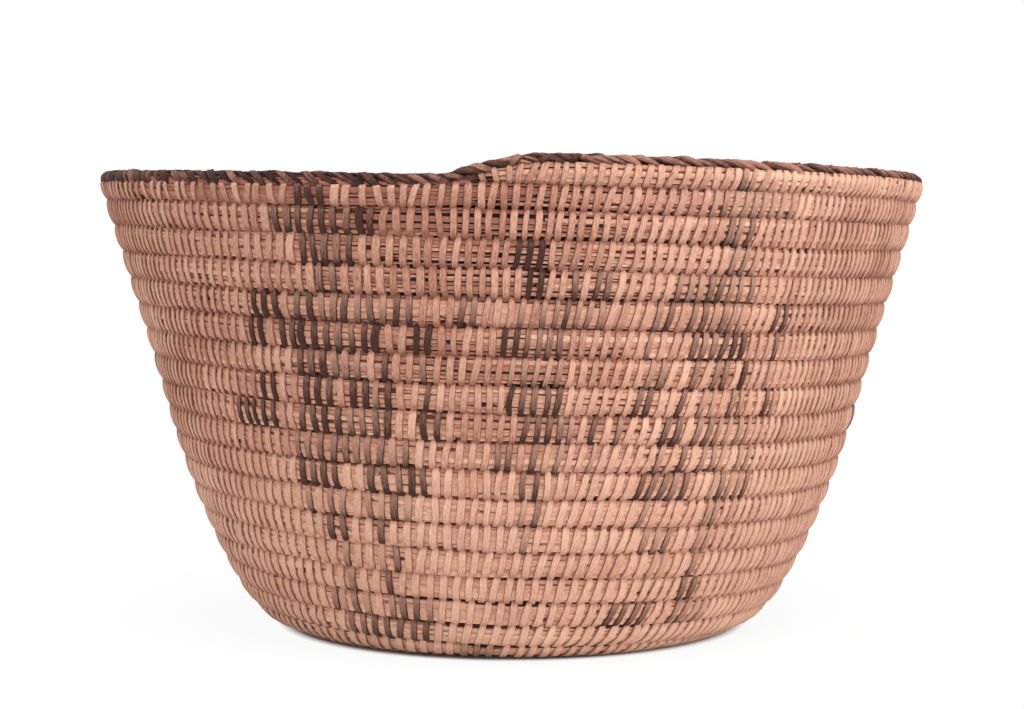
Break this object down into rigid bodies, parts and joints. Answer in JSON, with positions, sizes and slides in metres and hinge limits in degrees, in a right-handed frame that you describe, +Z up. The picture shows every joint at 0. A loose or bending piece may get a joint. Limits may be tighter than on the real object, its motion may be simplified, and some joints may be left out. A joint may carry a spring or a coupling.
{
  "type": "coiled basket bowl",
  "caption": "Flared round basket bowl of coiled and sewn split grass, with a flat base, a ribbed wall that spirals up to a thinned coil end, and a dark plaited edge; holds food or small things.",
  "frame": {"origin": "middle of the flat underside, on the surface that the bowl stands on", "axes": "+Z up; the thinned end of the coil at the rim is on the -Y side"},
  "size_m": [0.3204, 0.3208, 0.1773],
  "materials": {
    "grass_coil": "matt dried grass",
    "light_splint": "satin split palm or grass splint",
    "dark_splint": "satin dyed splint"
  },
  "bodies": {
    "root": {"base_coil": "grass_coil", "course_01": "grass_coil", "course_02": "grass_coil", "course_03": "grass_coil", "course_04": "grass_coil", "course_05": "grass_coil", "course_06": "grass_coil", "course_07": "grass_coil", "course_08": "grass_coil", "course_09": "grass_coil", "course_10": "grass_coil", "course_11": "grass_coil", "course_12": "grass_coil", "course_13": "grass_coil", "course_14": "grass_coil", "course_15": "grass_coil", "course_16": "grass_coil", "course_17": "grass_coil", "course_18": "grass_coil", "course_19": "grass_coil", "coil_end": "grass_coil", "start_knot": "light_splint", "rim_braid": "dark_splint"}
  },
  "joints": []
}
